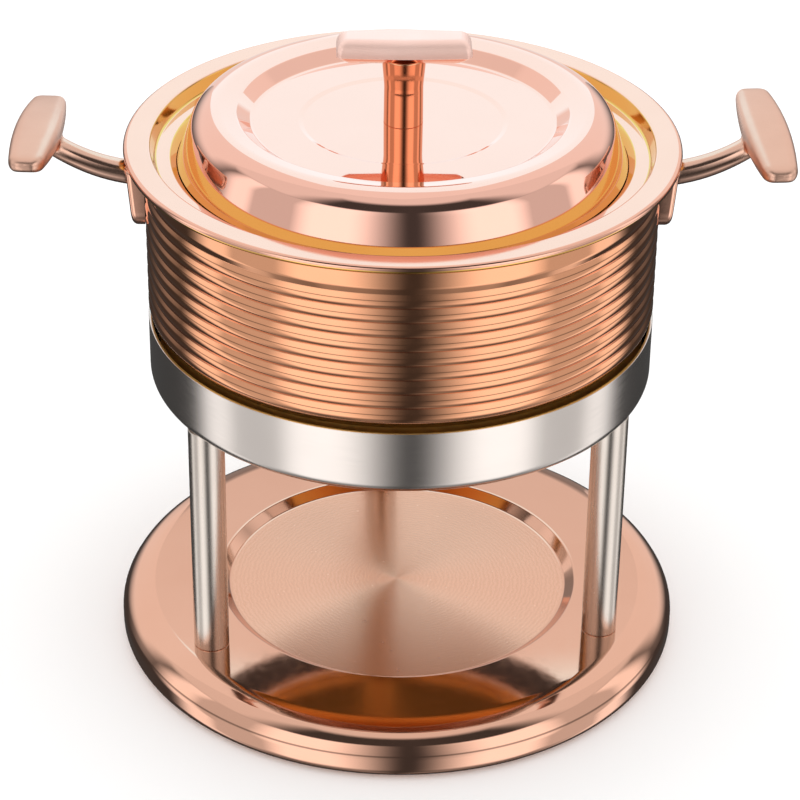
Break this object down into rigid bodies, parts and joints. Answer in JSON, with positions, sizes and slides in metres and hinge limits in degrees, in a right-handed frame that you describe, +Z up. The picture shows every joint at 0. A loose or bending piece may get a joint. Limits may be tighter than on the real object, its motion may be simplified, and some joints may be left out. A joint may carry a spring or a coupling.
{
  "type": "soup kettle",
  "caption": "Round soup kettle on a legged stand: ribbed outer vessel, hanging inner pan, sunk lid with a T-shaped knob, cast side handles and a dished base plate.",
  "frame": {"origin": "on the table, under the middle of the base plate", "axes": "+Z up, +X along the line of the side handles, -Y towards the front"},
  "size_m": [0.2772, 0.2146, 0.2458],
  "materials": {
    "rose_gold_polished": "polished rose-gold plate",
    "rose_gold_satin": "satin rose-gold plate",
    "gold_polished": "polished warm gold plate",
    "steel_brushed": "brushed stainless steel",
    "steel_polished": "polished stainless steel",
    "fastener_steel": "plain turned steel"
  },
  "bodies": {
    "stand": {"base_plate": "rose_gold_polished", "left_leg": "steel_polished", "right_leg": "steel_polished", "rear_leg": "steel_polished", "leg_plugs": "fastener_steel", "base_screws": "fastener_steel", "base_washers": "fastener_steel", "support_ring": "steel_brushed", "ring_screws": "fastener_steel", "ring_washers": "fastener_steel"},
    "kettle": {"kettle_body": "rose_gold_polished", "left_handle_bracket": "rose_gold_satin", "right_handle_bracket": "rose_gold_satin", "left_handle": "rose_gold_satin", "right_handle": "rose_gold_satin", "left_handle_screws": "fastener_steel", "right_handle_screws": "fastener_steel"},
    "pan": {"inner_pan": "gold_polished"},
    "lid": {"lid_shell": "rose_gold_polished", "knob_post": "rose_gold_polished", "knob_bar": "rose_gold_satin", "knob_screw": "fastener_steel", "knob_washer": "fastener_steel"}
  },
  "joints": [
    {"name": "kettle_lift", "type": "slide", "parent": "stand", "child": "kettle", "axis": [0, 0, 1], "range_m": [0, 0.05]},
    {"name": "pan_lift", "type": "slide", "parent": "kettle", "child": "pan", "axis": [0, 0, 1], "range_m": [0, 0.09]},
    {"name": "lid_lift", "type": "slide", "parent": "pan", "child": "lid", "axis": [0, 0, 1], "range_m": [0, 0.06]}
  ]
}
